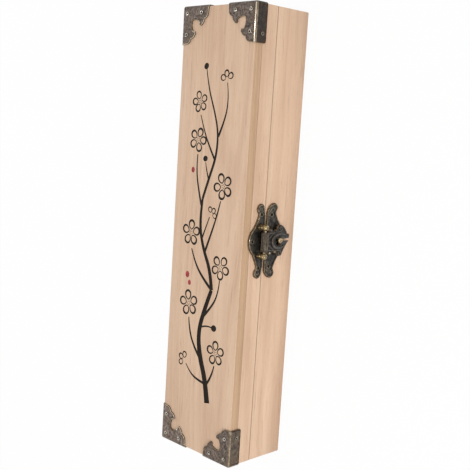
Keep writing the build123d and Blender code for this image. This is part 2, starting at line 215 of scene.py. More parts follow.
def beech(name, pith, lean, pale=beech_pale, warm=beech_warm, share=1.0):
    """Growth rings around a pith near the X axis, fine fibres, thin veins and short dark flecks."""
    wood = Recipe(name)
    log = wood.mapped(wood.place, place=pith, turn=lean)
    bend = wood.mapped(log, (5.5, 22, 22))
    wander = wood.add("ShaderNodeTexNoise", {"Vector": bend, "Scale": 1, "Detail": 2})
    sideways = {0: wander.outputs["Color"], 1: (0, ring_wander * MM, ring_wander * MM), 2: log}
    grown = wood.add("ShaderNodeVectorMath", sideways, operation="MULTIPLY_ADD").outputs[0]
    from_pith = wood.add("ShaderNodeVectorMath", {0: wood.mapped(grown, (0, 1, 1))}, operation="LENGTH")
    rings = {"W": from_pith.outputs["Value"], "Scale": 1 / (ring_width * MM), "Detail": 3, "Roughness": 0.62}
    ring = wood.add("ShaderNodeTexNoise", rings, noise_dimensions="1D").outputs[0]

    # Each noise is drawn out along the grain by its smaller scale there
    fibre = wood.noise(wood.mapped(grown, (26, 900, 900)), detail=4, roughness=0.6)
    streak = wood.noise(wood.mapped(grown, (9, 190, 190)), detail=3)
    cloud = wood.noise(wood.mapped(log, (10, 34, 34)))
    vein = wood.noise(wood.mapped(grown, (40, 640, 640)), detail=2)
    fleck = wood.noise(wood.mapped(grown, (330, 2600, 2600)), detail=1)
    vein = wood.ranged(vein, 0.61, 0.74, 0, 0.42)
    fleck = wood.ranged(fleck, 0.60, 0.74, 0, 0.22)
    figure = wood.sum((ring, ring_share), (fibre, fibre_share), (streak, streak_share), (cloud, cloud_share))
    middle = (ring_share + fibre_share + streak_share + cloud_share) / 2
    figure = wood.ranged(figure, middle - grain_spread, middle + grain_spread)
    colour = wood.mix(figure, rgba(*pale, share), rgba(*warm, share))
    colour = wood.mix(vein, colour, rgba(*beech_vein, share))
    colour = wood.mix(fleck, colour, rgba(*beech_fleck, share))
    wood.shader.inputs["Specular IOR Level"].default_value = 0.3
    height = wood.sum((fibre, 1), (fleck, -1.2))
    return wood.finish(colour, wood.ranged(fibre, 0, 1, 0.52, 0.70), height, 0.05, 0.35)


def at_the_seam(centre, normal):
    return abs(centre.z - seam_height * MM) < seam_reach * MM and 0.3 < abs(normal.z) < 0.95


# Each board's pith, and the lean of its grain: end boards have theirs along Y
boards = {
    "base_front_board": ((0.020, 0.066, -0.008), (0.000, 0.020, 0.006)),
    "base_back_board": ((0.300, -0.060, -0.020), (0.000, -0.020, 0.010)),
    "base_left_end": ((0.100, 0.010, 0.040), (0.000, 0.010, 1.571)),
    "base_right_end": ((0.500, 0.020, 0.050), (0.000, 0.020, 1.561)),
    "base_floor": ((0.700, 0.010, 0.060), (0.000, 0.010, 0.020)),
    "lid_front_rail": ((0.900, 0.070, -0.050), (0.000, 0.015, -0.008)),
    "lid_back_rail": ((1.100, -0.060, -0.050), (0.000, -0.018, 0.005)),
    "lid_left_end": ((1.300, 0.010, 0.030), (0.000, 0.012, 1.571)),
    "lid_right_end": ((1.500, 0.015, 0.030), (0.000, 0.016, 1.576)),
}
seam_shade_wood = beech("beech_seam_shade", (0.4, 0.02, -0.03), (0, 0.02, 0), share=seam_shade_share)
for node, (pith, lean) in boards.items():
    board = recut(node, node + "_wood")
    give(board, beech("beech_" + node, pith, lean), seam_shade_wood)
    # The bevels at the seam take the darker wood, painted shade
    paint(board, 1, at_the_seam)
    ease(board, arris_width)
    install(board, node.split("_")[0], "wood", node)


# Lid board
# One solid board over the lid's rails, of a darker cut at its edges. A blossoming branch is
# carved into it in shallow rounded strokes. They are painted dark, and some of its buds red.
lid_low, lid_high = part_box("lid_top_board")
lid_top = lid_high.z / MM
lid_edge_round = 0.5
edge_pale, edge_warm = (200, 167, 134), (176, 143, 112)
carving_flatness = 0.34
branch_paint = (33, 26, 19)
bud_paint = (170, 74, 78)
# Each stroke: x along the lid, y across it and half the stroke's width, in millimetres
trunk = [
    [(-117, -10, 2.7), (-101, -7, 2.4), (-86, 0, 2.3), (-69, 3, 2.1), (-52, -2, 1.9), (-37, -8, 1.7)],
    [(-37, -8, 1.8), (-24, -6, 1.6), (-9, 3, 1.45), (8, 8, 1.3), (25, 6, 1.15)],
    [
        (25, 6, 1.2), (39, 1, 1.1), (54, -5, 1.0), (70, -6, 0.9), (85, -1, 0.75), (100, 6, 0.6),
        (113, 9, 0.35),
    ],
]
twigs = [
    [(-88, -1, 1.1), (-79, 8, 0.9), (-66, 13, 0.7), (-60, 13.5, 0.5)],
    [(-58, 0, 1.0), (-48, -10, 0.85), (-37, -15, 0.65), (-29, -15.5, 0.5)],
    [(-37, -8, 1.2), (-29, 3, 0.95), (-19, 11, 0.75), (-11, 14.5, 0.5)],
    [(-12, 1, 1.0), (3, -5, 0.8), (17, -10, 0.65), (25, -12, 0.5)],
    [(20, 7, 1.0), (34, 12, 0.8), (47, 14, 0.6), (55, 13.5, 0.5)],
    [(52, -4, 0.9), (62, 3, 0.7), (73, 9, 0.55), (82, 12.5, 0.4)],
    [(68, -6, 0.9), (80, -12, 0.7), (94, -14, 0.5), (104, -12, 0.35)],
    [(-104, -8, 1.0), (-98, -13, 0.8), (-89, -15, 0.5)],
    [(-104, -8, 1.0), (-103, 2, 0.8), (-99, 10, 0.6), (-94, 14, 0.4)],
    [(-4, 5, 0.7), (6, 1, 0.6), (13, -2, 0.4)],
    [(-66, 3, 0.7), (-62, -4, 0.6), (-63, -10, 0.4)],
    [(38, 1, 0.65), (45, 4, 0.5), (50, 5, 0.35)],
]
# Each open blossom: x, y, how far its petals reach, and the turn of the first
blossoms = [
    (-50, 14.5, 9.4, 10), (-20, -15.5, 8.8, 40), (0, 16.0, 9.2, 0), (35, -13.5, 9.2, 25),
    (65, 14.0, 8.6, 50), (91, 14.0, 7.6, 15), (-80, -15.5, 8.8, 5),
]
# Each half-open one: x, y, reach, and where it faces
half_blossoms = [(106, -11.5, 6.6, 10), (-92, 16.0, 6.4, 60), (15, -3.5, 5.6, -40)]
buds = [(115, 9.5, 2.1), (-63, -12.5, 2.3), (52.5, 5.5, 2.0)]
red_buds = [(-30, 17.5, 2.0), (-35.5, 15.0, 1.6), (44, 17.5, 1.7)]
# Around a petal: how far out, how far aside and how broad its line is, as shares
petal_outline = [
    (0.26, -0.04, 0.5), (0.42, -0.24, 0.6), (0.70, -0.31, 0.8), (0.93, -0.15, 1.0),
    (0.93, 0.15, 1.0), (0.70, 0.31, 0.8), (0.42, 0.24, 0.6), (0.26, 0.04, 0.5),
]
petals, petal_line = 5, 0.085
stamen_ring, stamen_size = 0.13, 0.045
half_open_turn = 62
# How long, broad and deep a bud is, as shares of half its width
dark_bud, red_bud = (1.15, 1, 0.6), (1.2, 1, 0.6)
random.seed(7)


def settle(piece):
    """The piece's place goes into its mesh, and its object to the origin."""
    pick(piece)
    bpy.ops.object.transform_apply(location=True, rotation=True, scale=True)


def joined(name, pieces):
    """The pieces as one object."""
    pick(*pieces)
    if len(pieces) > 1:
        bpy.ops.object.join()
    whole = bpy.context.object
    whole.name = name
    whole.data.name = name
    return whole


def stroke(points, roundness=1, closed=False):
    """A tapered round stroke through points of x, y, z and half its width, a little uneven."""
    curve = bpy.data.curves.new("stroke", "CURVE")
    curve.dimensions = "3D"
    curve.bevel_depth = MM
    curve.bevel_resolution = roundness
    curve.resolution_u = 5
    curve.use_fill_caps = True
    line = curve.splines.new("NURBS")
    line.points.add(len(points) - 1)
    for point, (x, y, z, half) in zip(line.points, points):
        point.co = (x * MM, y * MM, z * MM, 1)
        point.radius = half * random.uniform(0.9, 1.12)
    line.order_u = 3
    line.use_endpoint_u = not closed
    line.use_cyclic_u = closed
    piece = bpy.data.objects.new("stroke", curve)
    bpy.context.scene.collection.objects.link(piece)
    pick(piece)
    bpy.ops.object.convert(target="MESH")
    bpy.ops.object.mode_set(mode="EDIT")
    bpy.ops.mesh.select_all(action="SELECT")
    bpy.ops.mesh.remove_doubles(threshold=0.002 * MM)
    bpy.ops.object.mode_set(mode="OBJECT")
    return bpy.context.object


def drop(place, halves, turn=(0, 0, 0), segments=18):
    """A rounded drop: its middle, half its length, width and height, and its turn."""
    bpy.ops.mesh.primitive_uv_sphere_add(
        segments=segments, ring_count=10, location=Vector(place) * MM, rotation=turn
    )
    piece = bpy.context.object
    piece.scale = Vector(halves) * MM
    settle(piece)
    return piece


def petal(x, y, reach, angle):
    """The outline of one petal of a blossom at x, y, broader at its tip."""
    points = []
    for out, aside, half in petal_outline:
        along = (out * cos(angle) - aside * sin(angle), out * sin(angle) + aside * cos(angle))
        points.append((x + reach * along[0], y + reach * along[1], lid_top, petal_line * reach * half))
    return stroke(points, closed=True)


def painted(name, colour):
    """Thick matt paint, darker and lighter in blots, and lighter in worn patches."""
    coat = Recipe(name)
    coat.shader.inputs["Specular IOR Level"].default_value = 0.15
    blot = coat.noise(coat.place, 700, 3)
    worn = coat.noise(coat.place, 160, 2)
    shade = coat.mix(coat.ranged(blot, 0.3, 0.7), rgba(*colour, 0.55), rgba(*colour, 1.25))
    shade = coat.mix(coat.ranged(worn, 0.5, 0.8, 0, 0.4), shade, rgba(*colour, 1.8))
    return coat.finish(shade, coat.ranged(blot, 0.3, 0.7, 0.5, 0.75), blot, 0.04)


dark_cutters = [stroke([(x, y, lid_top, half) for x, y, half in points]) for points in trunk + twigs]
for x, y, half in buds:
    turn = (0, 0, random.uniform(0, pi))
    dark_cutters.append(drop((x, y, lid_top), [half * share for share in dark_bud], turn))
for x, y, reach, turn in blossoms:
    for number in range(petals):
        angle = radians(turn + 360 / petals * number + random.uniform(-4, 4))
        dark_cutters.append(petal(x, y, reach, angle))
    for number in range(petals):
        angle = radians(turn + 360 / petals * (number + 0.5))
        spot = (x + stamen_ring * reach * cos(angle), y + stamen_ring * reach * sin(angle), lid_top)
        dark_cutters.append(drop(spot, (stamen_size * reach,) * 3, segments=8))
for x, y, reach, facing in half_blossoms:
    for number in (-1, 0, 1):
        dark_cutters.append(petal(x, y, reach, radians(facing + half_open_turn * number)))
red_cutters = [drop((x, y, lid_top), [half * share for share in red_bud]) for x, y, half in red_buds]
groove_dark = painted("groove_dark", branch_paint)
groove_red = painted("groove_red", bud_paint)
for cutters, coat in ((dark_cutters, groove_dark), (red_cutters, groove_red)):
    for cutter in cutters:
        give(cutter, coat)
carver = joined("carver", dark_cutters + red_cutters)
bpy.ops.object.mode_set(mode="EDIT")
bpy.ops.mesh.select_all(action="SELECT")
bpy.ops.transform.resize(value=(1, 1, carving_flatness), center_override=(0, 0, lid_top * MM))
bpy.ops.object.mode_set(mode="OBJECT")

bpy.ops.mesh.primitive_cube_add(size=1, location=(lid_low + lid_high) / 2)
lid_board = bpy.context.object
lid_board.name = "lid_board_carved"
lid_board.scale = lid_high - lid_low
settle(lid_board)
lid_face = beech("beech_lid_face", (0.2, 0.012, -0.020), (0.0, 0.030, 0.008))
lid_edge = beech("beech_lid_edge", (0.6, 0.050, -0.080), (0.0, 0.010, 0.0), edge_pale, edge_warm)
give(lid_board, lid_face, lid_edge, seam_shade_wood)
paint(lid_board, 1, lambda centre, normal: abs(normal.z) < 0.5)
ease(lid_board, lid_edge_round, 3)
# The lid board's lower rounded edge takes the same painted shade, a dark line against the rails
paint(lid_board, 2, lambda centre, normal: -0.97 < normal.z < -0.2)
cut = lid_board.modifiers.new("carving", "BOOLEAN")
cut.operation = "DIFFERENCE"
cut.solver = "EXACT"
cut.use_self = True
cut.material_mode = "TRANSFER"
cut.object = carver
fix_modifiers(lid_board)
bpy.data.objects.remove(carver)
bpy.ops.object.shade_smooth_by_angle(angle=radians(20))
install(lid_board, "lid", "lid_wood", "lid_top_board")


# Corner brackets
# Pressed steel sheet, folded over the corner and plated in antique bronze. The tops are painted
# lighter than the skirts as painted reflection. Painted highlights lie on the scalloped rims behind
# and on one fold in front, and painted shade lies on the sheet's walls and in lines beside the rims
# and at the skirts' edges.
half_length, half_width = 155, 35
top_height = 50
bracket_sheet = 0.9
# Each nail in a bracket's top, in from the lid's two sides, and the one in each skirt
top_nails = [(4.2, 4.2), (18.6, 4.2), (4.2, 18.6)]
skirt_nail_run, skirt_nail_drop = 19.5, 5.2
top_seat, skirt_seat = top_height + bracket_sheet, top_height - skirt_nail_drop
# Each nail's place, and the way its head faces
corner_seats = []
for side_x in (-1, 1):
    for side_y in (-1, 1):
        for u, v in top_nails:
            x, y = side_x * (half_length - u), side_y * (half_width - v)
            corner_seats.append(((x, y, top_seat), (0, 0, 1)))
        x, y = side_x * (half_length - skirt_nail_run), side_y * (half_width + bracket_sheet)
        corner_seats.append(((x, y, skirt_seat), (0, side_y, 0)))
        x, y = side_x * (half_length + bracket_sheet), side_y * (half_width - skirt_nail_run)
        corner_seats.append(((x, y, skirt_seat), (side_x, 0, 0)))
nail_hole_reach = 1.5
# The rim of each top, painted as a highlight, the painted shade line inside it, and the shade line at a skirt's
# edges
rim_width, shade_line_width, skirt_shade_line = 0.42, 0.35, 0.84
# How close to a fold there is none of them, and how far from the corner the notch ends
fold_reach, notch_end = 1.7, 15.5
inset_step = 0.05


def bronze(name, dark, light, tint, rough, metallic=0.7, grain=430, spread=0.14, pits=0.6, depth=0.06):
    """A mottled skin of plating, darker in its pits, with patches of another tint."""
    plating = Recipe(name)
    cloud = plating.noise(plating.place, grain, 5, 0.66)
    speck = plating.noise(plating.place, 2600, 2)
    patch = plating.noise(plating.place, 130, 2)
    colour = plating.mix(plating.ranged(cloud, 0.5 - spread, 0.5 + spread), rgba(*dark), rgba(*light))
    colour = plating.mix(plating.ranged(patch, 0.45, 0.66, 0, 0.6), colour, rgba(*tint))
    colour = plating.mix(plating.ranged(speck, 0.55, 0.72, 0, pits), colour, rgba(*dark, 0.5))
    plating.shader.inputs["Metallic"].default_value = metallic
    roughness = plating.ranged(cloud, 0.3, 0.7, rough + 0.10, rough - 0.06)
    return plating.finish(colour, roughness, plating.sum((cloud, 1), (speck, 0.4)), depth)


# Painted highlights for the rims and folds
bracket_rim_highlight = bronze("bracket_rim_highlight", (138, 124, 104), (224, 210, 186), (184, 167, 140), 0.24, pits=0.3)
# The sheet's walls and the lines beside the rims and skirt edges are painted dark as shade
bracket_wall_shade = bronze("bracket_wall_shade", (46, 32, 21), (84, 61, 41), (64, 45, 29), 0.5)
fold_soft_highlight = bronze("fold_soft_highlight", (84, 73, 60), (150, 134, 112), (116, 100, 80), 0.42, grain=500, pits=0.3)
fold_bright_highlight = bronze(
    "fold_bright_highlight", (190, 174, 152), (246, 234, 212), (220, 204, 176), 0.2, grain=300, pits=0.1, depth=0.02
)
# The slots of these finishes on a bracket
on_top, on_rim_highlight, on_skirt, on_wall_shade, on_bright_highlight, on_soft_highlight = range(6)
# How light each bracket's top and skirts are painted, as painted reflection: the tops lighter than the skirts,
# each corner as the light falls on it
reflection_tones = {
    "front_right": (0.76, 0.72), "back_right": (0.80, 0.8),
    "back_left": (0.92, 1.0), "front_left": (0.81, 1.2),
}
# The painted highlights on the folds at the front: the slot, and the slope of the sheet there, from upright 0
# to flat 1
folds = {
    "front_right": ((on_bright_highlight, 0.84, 0.985), (on_soft_highlight, 0.2, 0.62)),
    "front_left": ((on_soft_highlight, 0.3, 0.97),),
}


def toned(colour, tone):
    return tuple(value * tone for value in colour)


def assign(slot):
    """The chosen faces take the material in that slot."""
    bpy.context.object.active_material_index = slot
    bpy.ops.object.material_slot_assign()


def creep(width, rise=0.0):
    """Insets the chosen faces bit by bit. Corners that come close to each other become one."""
    steps = round(width / inset_step)
    for _ in range(steps):
        bpy.ops.mesh.inset(thickness=width / steps * MM, depth=rise / steps * MM)
        bpy.ops.mesh.remove_doubles(threshold=2 * inset_step * MM)


def in_a_nail_hole(centre, normal):
    """The nails fill their holes."""
    for place, facing in corner_seats:
        beside = abs(normal.dot(Vector(facing))) < 0.1
        if beside and (centre - Vector(place) * MM).length < nail_hole_reach * MM:
            return True
    return False


for corner, (top_tone, tone) in reflection_tones.items():
    node = "corner_" + corner
    bracket = recut(node, "bracket_" + corner, in_a_nail_hole)
    low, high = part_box(node)
    middle = (low + high) / 2
    outward = Vector((1 if middle.x > 0 else -1, 1 if middle.y > 0 else -1, 0))
    top = bronze(
        "top_" + corner, toned((72, 61, 55), top_tone), toned((170, 150, 137), top_tone),
        toned((112, 96, 82), top_tone), 0.40, grain=620, spread=0.12,
    )
    skirt = bronze(
        "skirt_" + corner, toned((58, 50, 44), tone), toned((104, 92, 80), tone),
        toned((86, 72, 58), tone), 0.42,
    )
    # The rims: bright painted highlights on the back brackets, softer ones on the front
    rim = bracket_rim_highlight if "back" in corner else fold_soft_highlight
    give(bracket, top, rim, skirt, bracket_wall_shade, fold_bright_highlight, fold_soft_highlight)
    paint(bracket, on_skirt, lambda centre, normal: abs(normal.z) < 0.7 and normal.dot(outward) > 0.3)
    # The sheet's walls take the painted shade
    paint(bracket, on_wall_shade, lambda centre, normal: abs(normal.z) < 0.3 and normal.dot(outward) <= 0.3)
    # The front folds take their painted highlights
    for slot, upright, flat in folds.get(corner, ()):
        paint(bracket, slot, lambda centre, normal: normal.y < -0.2 and upright <= normal.z < flat)
    ease(bracket, 0.12, 2, rim=on_rim_highlight, angle=50)
    choose(bracket, lambda centre, normal: normal.z > 0.999)
    assign(on_rim_highlight)
    creep(rim_width)
    assign(on_wall_shade)
    creep(shade_line_width)
    assign(on_top)
    bpy.ops.object.mode_set(mode="OBJECT")

    # No painted rim highlight along the folds, but the one along the front fold of the front right bracket
    def beside_a_fold(centre, normal):
        end = abs(centre.x) > (half_length - fold_reach) * MM
        back = centre.y > (half_width - fold_reach) * MM
        front = centre.y < -(half_width - fold_reach) * MM and corner != "front_right"
        return normal.z > 0.999 and (end or back or front)

    paint(bracket, on_top, beside_a_fold)
    # In the notch the rim takes the softer painted highlight
    for face in bracket.data.polygons:
        in_from_end = half_length * MM - abs(face.center.x)
        in_from_side = half_width * MM - abs(face.center.y)
        if face.material_index == on_rim_highlight and max(in_from_end, in_from_side) < notch_end * MM:
            face.material_index = on_soft_highlight
    # A painted shade line at the edges of each skirt, but not under the fold
    for across, reach in ((0, half_length + 0.5), (1, half_width + 0.5)):
        choose(bracket, lambda centre, normal: abs(normal[across]) > 0.999 and abs(centre[across]) > reach * MM)
        assign(on_wall_shade)
        creep(skirt_shade_line)
        assign(on_skirt)
    choose(bracket, lambda centre, normal: True)
    bpy.ops.mesh.dissolve_degenerate(threshold=0.02 * MM)
    bpy.ops.object.mode_set(mode="OBJECT")
    bpy.ops.object.shade_smooth_by_angle(angle=radians(50))

    def under_the_fold(centre, normal):
        return max(abs(normal.x), abs(normal.y)) > 0.999 and centre.z > (top_height - 1.5) * MM

    paint(bracket, on_skirt, under_the_fold)
    install(bracket, "lid", "bracket_bronze", node)


# Nails of the brackets and hinges
# Small plated nails with a raised rim around a cup painted dark as shade, driven down to the sheet.
# On the lid's top their rims are painted bright, as painted highlights.
nail_rim_glint = bronze("nail_rim_glint", (104, 97, 88), (232, 225, 212), (160, 150, 133), 0.12, depth=0.02, pits=0.15)
nail_dull = bronze("nail_dull", (84, 77, 69), (178, 169, 154), (122, 112, 97), 0.2, depth=0.02, pits=0.2)
nail_cup_shade = bronze("nail_cup_shade", (8, 7, 7), (24, 22, 20), (15, 14, 12), 0.5)
shank_radius, shank_length = 0.5, 1.5
hinge_nails = [middle + run for middle in (-95, 95) for run in (-7, 7)]
hinge_nail_rise = 6
hinge_sheet = 0.8


def nail(name, head, height, cup, finishes):
    """One nail on z = 0: a rounded rim, a sunk cup in its middle and a short shank below."""
    bpy.ops.mesh.primitive_cylinder_add(
        vertices=20, radius=head * MM, depth=height * MM, location=(0, 0, height / 2 * MM)
    )
    piece = bpy.context.object
    piece.name = name
    settle(piece)
    give(piece, *finishes)
    choose(piece, lambda centre, normal: normal.z > 0.9)
    bpy.ops.mesh.inset(thickness=(head - cup) * MM, depth=0)
    bpy.ops.mesh.inset(thickness=0.3 * cup * MM, depth=-0.75 * height * MM)
    choose(piece, lambda centre, normal: normal.z < -0.9)
    bpy.ops.mesh.inset(thickness=(head - shank_radius) * MM, depth=0)
    bpy.ops.mesh.extrude_region_move(TRANSFORM_OT_translate={"value": (0, 0, -shank_length * MM)})
    bpy.ops.object.mode_set(mode="OBJECT")
    # The cup is painted dark as shade
    paint(piece, 1, lambda centre, normal: centre.xy.length < 0.88 * cup * MM and centre.z > 0)
    ease(piece, 0.22 * (head - cup), 2, angle=30)
    return piece


def drive(name, master, seats):
    """Copies of a nail on each seat, a place and the way its head faces, as one piece."""
    copies = []
    for place, facing in seats:
        copy = bpy.data.objects.new(name, master.data.copy())
        bpy.context.scene.collection.objects.link(copy)
        turned = Vector(facing).to_track_quat("Z", "Y").to_matrix().to_4x4()
        copy.matrix_world = Matrix.Translation(Vector(place) * MM) @ turned
        settle(copy)
        copies.append(copy)
    bpy.data.objects.remove(master)
    return joined(name, copies)


corner_nail = nail("corner_nail", 1.35, 0.5, 0.65, (nail_rim_glint, nail_cup_shade, nail_dull))
heads = drive("corner_nail_heads", corner_nail, corner_seats)
# Only the nails on the lid's top keep the painted glint; those in the skirts take the duller finish
for face in heads.data.polygons:
    if face.material_index == 0 and face.center.z < top_height * MM:
        face.material_index = 2
install(heads, "lid", "nail_bronze", "corner_nails")
for body, rise in (("lid", hinge_nail_rise), ("base", -hinge_nail_rise)):
    seats = [((x, half_width + hinge_sheet, seam_height + rise), (0, 1, 0)) for x in hinge_nails]
    hinge_nail = nail("hinge_nail", 1.15, 0.5, 0.6, (nail_dull, nail_cup_shade))
    heads = drive(f"hinge_nail_heads_{body}", hinge_nail, seats)
    install(heads, body, "nail_bronze", f"hinge_{body}_nails")


# Hasp and catch
# Zinc castings in dark antique bronze. Each plate has a low border, a raised bead inside it
# and a sunk field, and small nails in rings. Their walls and beads are rubbed to warmer bronze.
front = -half_width
cast_field = bronze(
    "cast_field", (25, 23, 21), (90, 84, 75), (46, 47, 47), 0.34, grain=520, spread=0.12, pits=0.4
)
cast_bead = bronze("cast_bead", (62, 54, 44), (176, 160, 134), (118, 102, 78), 0.26, grain=700, pits=0.4)
cast_border = bronze("cast_border", (40, 33, 27), (98, 83, 66), (66, 54, 41), 0.34, grain=700, pits=0.4)
cast_wall = bronze("cast_wall", (88, 64, 42), (186, 156, 116), (124, 94, 62), 0.36)
# Black nail heads, and the painted shade in the lug balls' dimples
black_nail_and_shade = bronze("black_nail_and_shade", (10, 9, 9), (30, 28, 27), (18, 17, 16), 0.3)
lug_brass = bronze("lug_brass", (78, 62, 38), (196, 174, 130), (140, 118, 76), 0.26, grain=600, pits=0.5)
lug_root = bronze("lug_root", (54, 40, 28), (134, 108, 76), (92, 70, 46), 0.34, grain=600, pits=0.5)
border_height, border_width = 0.8, 0.55
bead_height, bead_width, bead_slope = 0.5, 0.4, 0.15
field_sink, field_slope = 0.55, 0.2
field = front - border_height - bead_height + field_sink
lid_plate_nails = [(-18.2, 34.0), (18.2, 34.0), (0, 41.4)]
catch_plate_nails = [(-17.8, 23.9), (17.8, 23.9)]
nail_ring, nail_ring_line = 1.45, 0.2
nail_seat = field - 0.05
post_x, post_z = 0.5, 19.3
hole_reach = 1.1
# The slots of a plate's finishes
in_field, in_bead, in_wall, in_border = range(4)
# The curl of the bead in the end of each ear: x, z and half its width
lid_ear_curl = [
    (16.5, 36.0, 0.15), (19.6, 37.0, 0.25), (22.2, 36.4, 0.3), (23.0, 34.6, 0.3), (22.2, 33.2, 0.25),
    (21.2, 33.8, 0.15),
]
catch_ear_curl = [
    (14.0, 25.6, 0.15), (18.0, 26.6, 0.25), (21.4, 25.4, 0.3), (22.8, 22.6, 0.3), (21.8, 20.8, 0.25),
    (20.6, 21.4, 0.15),
]
# A lug's root and the spine on it: how far out from the case, z and half the width
root_line = [(0.6, 34.1, 2.6), (2.0, 34.0, 2.4), (3.4, 33.8, 2.1), (4.8, 33.6, 1.9)]
spine_line = [(0.9, 36.9, 0.5), (2.2, 36.2, 0.6), (3.8, 35.6, 0.7)]
lug_x, lug_out, lug_z, lug_ball = 9.7, 4.8, 33.6, 2.3


def ring(place, radius, thick, finish, facing=(0, -1, 0)):
    """A round bead, lying on a face that faces that way."""
    bpy.ops.mesh.primitive_torus_add(
        major_segments=24, minor_segments=8, major_radius=radius * MM, minor_radius=thick * MM,
        location=Vector(place) * MM, rotation=Vector(facing).to_track_quat("Z", "Y").to_euler(),
    )
    piece = bpy.context.object
    settle(piece)
    bpy.ops.object.shade_smooth()
    give(piece, finish)
    return piece


def with_finish(pieces, finish):
    """The same pieces, smooth and with that finish."""
    for piece in pieces:
        give(piece, finish)
        pick(piece)
        bpy.ops.object.shade_smooth()
    return pieces


def knob(place, halves, facing, depth, skin, pit):
    """A rounded knob with a dimple, the way it faces, in its top, the dimple painted in the pit finish as
    shade.
    """
    facing = Vector(facing).normalized()
    middle = Vector(place) * MM
    piece = drop(place, halves, facing.to_track_quat("Z", "Y").to_euler(), segments=24)
    give(piece, skin, pit)

    def in_the_dimple(co, reach):
        up = (co - middle).dot(facing)
        return up > 0 and (co - middle - facing * up).length < reach * halves[0] * MM

    choose(piece, lambda co, normal: in_the_dimple(co, 0.45), "VERT")
    bpy.ops.transform.translate(value=-depth * MM * facing)
    bpy.ops.object.mode_set(mode="OBJECT")
    paint(piece, 1, lambda centre, normal: in_the_dimple(centre, 0.3))
    pick(piece)
    bpy.ops.object.shade_smooth()
    return piece


def flatten(piece, where):
    """A narrow frame in the faces for which where(centre, normal) holds, so that they shade flat."""
    choose(piece, where)
    bpy.ops.mesh.inset(thickness=0.06 * MM, depth=0)
    bpy.ops.object.mode_set(mode="OBJECT")


def plate_blank(node, holes):
    """The plate's outer wall, taken from its node, closed again and given its bead and field."""
    blank = recut(node, node + "_casting")
    give(blank, cast_field, cast_bead, cast_wall, cast_border)

    def not_the_wall(centre, normal):
        for x, z in holes:
            if (Vector((x, z)) * MM - centre.xz).length < hole_reach * MM:
                return True
        return abs(normal.y) > 0.1 or centre.y < (front - border_height) * MM

    choose(blank, not_the_wall)
    bpy.ops.mesh.delete(type="FACE")
    bpy.ops.mesh.select_all(action="SELECT")
    bpy.ops.mesh.remove_doubles(threshold=0.15 * MM)
    assign(in_wall)
    for level in (front, front - border_height):
        choose(blank, lambda co, normal: abs(co.y - level * MM) < 0.05 * MM, "VERT")
        bpy.ops.mesh.edge_face_add()
    bpy.ops.mesh.select_all(action="SELECT")
    bpy.ops.mesh.normals_make_consistent(inside=False)
    choose(blank, lambda centre, normal: normal.y < -0.9)
    assign(in_border)
    creep(border_width)
    assign(in_bead)
    creep(bead_slope, bead_height)
    creep(bead_width)
    assign(in_field)
    creep(field_slope, -field_sink)
    bpy.ops.object.mode_set(mode="OBJECT")
    ease(blank, 0.1, 2, angle=30)
    flatten(blank, lambda centre, normal: normal.y < -0.999 and abs(centre.y - field * MM) < 0.05 * MM)
    return blank


def lugs():
    """Stout bosses that rise from the lid's plate and end in a dimpled ball."""
    made = []
    for side in (-1, 1):
        for line, finish in ((root_line, lug_root), (spine_line, lug_brass)):
            points = [(side * lug_x, front - out, z, half) for out, z, half in line]
            made += with_finish([stroke(points, roundness=3)], finish)
        ball = (side * lug_x, front - lug_out, lug_z)
        made.append(knob(ball, (lug_ball,) * 3, (0, -1, -0.35), 0.6, lug_brass, black_nail_and_shade))
    return made


def boss():
    """The low boss on the catch's plate, under the post."""
    bpy.ops.mesh.primitive_cylinder_add(
        vertices=28, radius=2.5 * MM, depth=0.9 * MM,
        location=(post_x * MM, (field + 0.1) * MM, post_z * MM), rotation=(pi / 2, 0, 0),
    )
    piece = bpy.context.object
    settle(piece)
    ease(piece, 0.25, 2)
    give(piece, cast_bead)
    return piece


# The two plates, each with a ring under every nail and a curl in both ears, and their nails
for node, body, nails, holes, curl, nail_node in (
    ("hasp_lid_plate", "lid", lid_plate_nails, [], lid_ear_curl, "hasp_nails"),
    ("catch_plate", "base", catch_plate_nails, [(post_x, post_z)], catch_ear_curl, "catch_nails"),
):
    parts = [plate_blank(node, nails + holes)]
    parts += [ring((x, field, z), nail_ring, nail_ring_line, cast_bead) for x, z in nails]
    for side in (-1, 1):
        parts += with_finish([stroke([(side * x, field, z, half) for x, z, half in curl])], cast_bead)
    parts += lugs() if body == "lid" else [boss()]
    install(joined(node + "_casting", parts), body, "hasp_bronze", node)
    plate_nail = nail("plate_nail", 0.95, 0.42, 0.3, (black_nail_and_shade, black_nail_and_shade))
    seats = [((x, nail_seat, z), (0, -1, 0)) for x, z in nails]
    heads = drive(nail_node.replace("nails", "nail_heads"), plate_nail, seats)
    install(heads, body, "nail_bronze", nail_node)

# The catch's post: a collar on the boss, a thin neck, and a gold knob with a dimple; its half towards the case
# and its dimple are painted brown as shade
post_brass = bronze("post_brass", (104, 84, 56), (214, 194, 156), (152, 130, 92), 0.2, pits=0.3)
post_flank_shade = bronze("post_flank_shade", (60, 42, 26), (136, 106, 68), (96, 72, 44), 0.36)
post_dark = bronze("post_dark", (22, 19, 16), (58, 49, 40), (38, 31, 24), 0.4)
